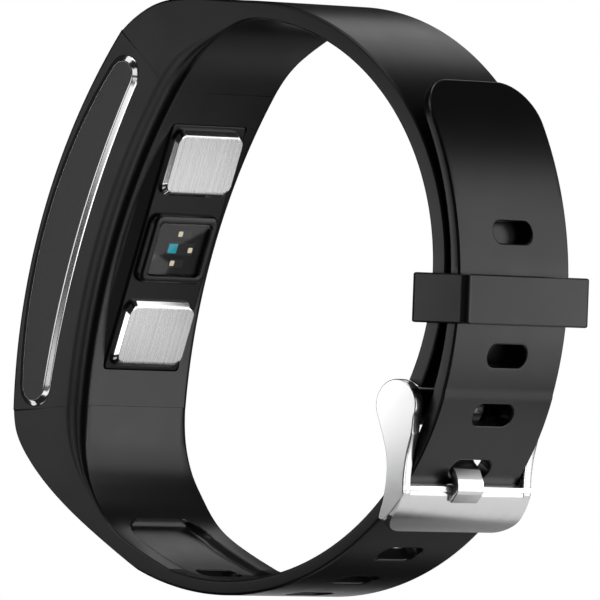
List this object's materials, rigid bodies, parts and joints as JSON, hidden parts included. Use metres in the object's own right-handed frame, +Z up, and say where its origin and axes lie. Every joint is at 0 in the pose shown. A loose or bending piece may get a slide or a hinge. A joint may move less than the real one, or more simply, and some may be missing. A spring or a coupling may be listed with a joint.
{
  "type": "fitness tracker band",
  "caption": "Wrist band tracker buckled in a loop: curved case with steel electrodes and optical sensor, slotted strap, keeper and pin buckle.",
  "frame": {"origin": "middle of the whole fastened band's box", "axes": "+Y along the loop's axis, which is the wearer's forearm; -X out of the display side, +X out of the buckle side; +Z up along the case"},
  "size_m": [0.0658, 0.022, 0.065],
  "materials": {
    "body_plastic": "satin black moulded plastic",
    "strap_rubber": "satin black soft moulding with a fine mould texture",
    "bright_chrome": "polished plate",
    "spring_steel": "drawn wire and tube",
    "brushed_steel": "straight brushed along the band, bright chamfers",
    "insert_plastic": "matt dark grey, fine grain",
    "dark_glass": "polished, near-black tinted",
    "circuit_board": "solder mask",
    "package_plastic": "moulded package",
    "led_lens": "cream phosphor gel",
    "diode_die": "polished teal filter",
    "battery_foil": "laminated foil pouch",
    "gasket_foam": "closed cell adhesive foam",
    "flex_film": "amber flexible circuit film"
  },
  "bodies": {
    "band": {"case_housing": "body_plastic", "back_plate": "body_plastic", "sensor_frame": "body_plastic", "display_lens": "dark_glass", "display_panel": "dark_glass", "sensor_window": "dark_glass", "lens_gasket": "gasket_foam", "display_flex": "flex_film", "electrode_upper": "brushed_steel", "electrode_lower": "brushed_steel", "electrode_spring_upper": "spring_steel", "electrode_spring_lower": "spring_steel", "motor_body": "spring_steel", "strap_pin_upper": "spring_steel", "strap_pin_lower": "spring_steel", "sensor_board": "circuit_board", "main_board": "circuit_board", "optical_package_upper": "package_plastic", "optical_package_middle": "package_plastic", "optical_package_lower": "package_plastic", "processor_chip": "package_plastic", "led_upper": "led_lens", "led_middle": "led_lens", "led_lower": "led_lens", "photodiode": "diode_die", "battery": "battery_foil", "side_bezel_near": "bright_chrome", "side_bezel_far": "bright_chrome", "side_insert_near": "insert_plastic", "side_insert_far": "insert_plastic", "strap_upper": "strap_rubber", "strap_lower": "strap_rubber"},
    "motor_rotor": {"motor_weight": "brushed_steel"},
    "keeper": {"keeper_loop": "strap_rubber"},
    "buckle": {"buckle_frame": "bright_chrome"},
    "tongue": {"buckle_tongue": "bright_chrome"},
    "bar_tube": {"spring_bar": "spring_steel", "spring_bar_coil": "spring_steel"},
    "bar_tip_near": {"spring_bar_tip_near": "spring_steel"},
    "bar_tip_far": {"spring_bar_tip_far": "spring_steel"}
  },
  "joints": [
    {"name": "keeper_slide_round_strap", "type": "hinge", "parent": "band", "child": "keeper", "pos_m": [-0.00001, 0, 0.00351], "axis": [0, -1, 0], "range_deg": [-4, 26]},
    {"name": "buckle_frame_hinge", "type": "hinge", "parent": "band", "child": "buckle", "pos_m": [0.02374, 0, -0.01099], "axis": [0, -1, 0], "range_deg": [0, 2.2]},
    {"name": "buckle_tongue_hinge", "type": "hinge", "parent": "band", "child": "tongue", "pos_m": [0.02374, 0, -0.01099], "axis": [0, -1, 0], "range_deg": [0, 2.2]},
    {"name": "spring_bar_spin", "type": "hinge", "parent": "band", "child": "bar_tube", "pos_m": [0.02374, 0, -0.01099], "axis": [0, 1, 0], "continuous": true},
    {"name": "bar_tip_near_press", "type": "slide", "parent": "bar_tube", "child": "bar_tip_near", "axis": [0, 1, 0], "range_m": [0, 0.001], "stiffness_N_per_m": 300, "springref_m": -0.002},
    {"name": "bar_tip_far_press", "type": "slide", "parent": "bar_tube", "child": "bar_tip_far", "axis": [0, -1, 0], "range_m": [0, 0.001], "stiffness_N_per_m": 300, "springref_m": -0.002},
    {"name": "motor_spin", "type": "hinge", "parent": "band", "child": "motor_rotor", "pos_m": [-0.02634, 0, -0.00602], "axis": [0, 1, 0], "continuous": true}
  ],
  "couplings": [
    {"joint": "buckle_tongue_hinge", "follows": "buckle_frame_hinge", "ratio": 1}
  ]
}
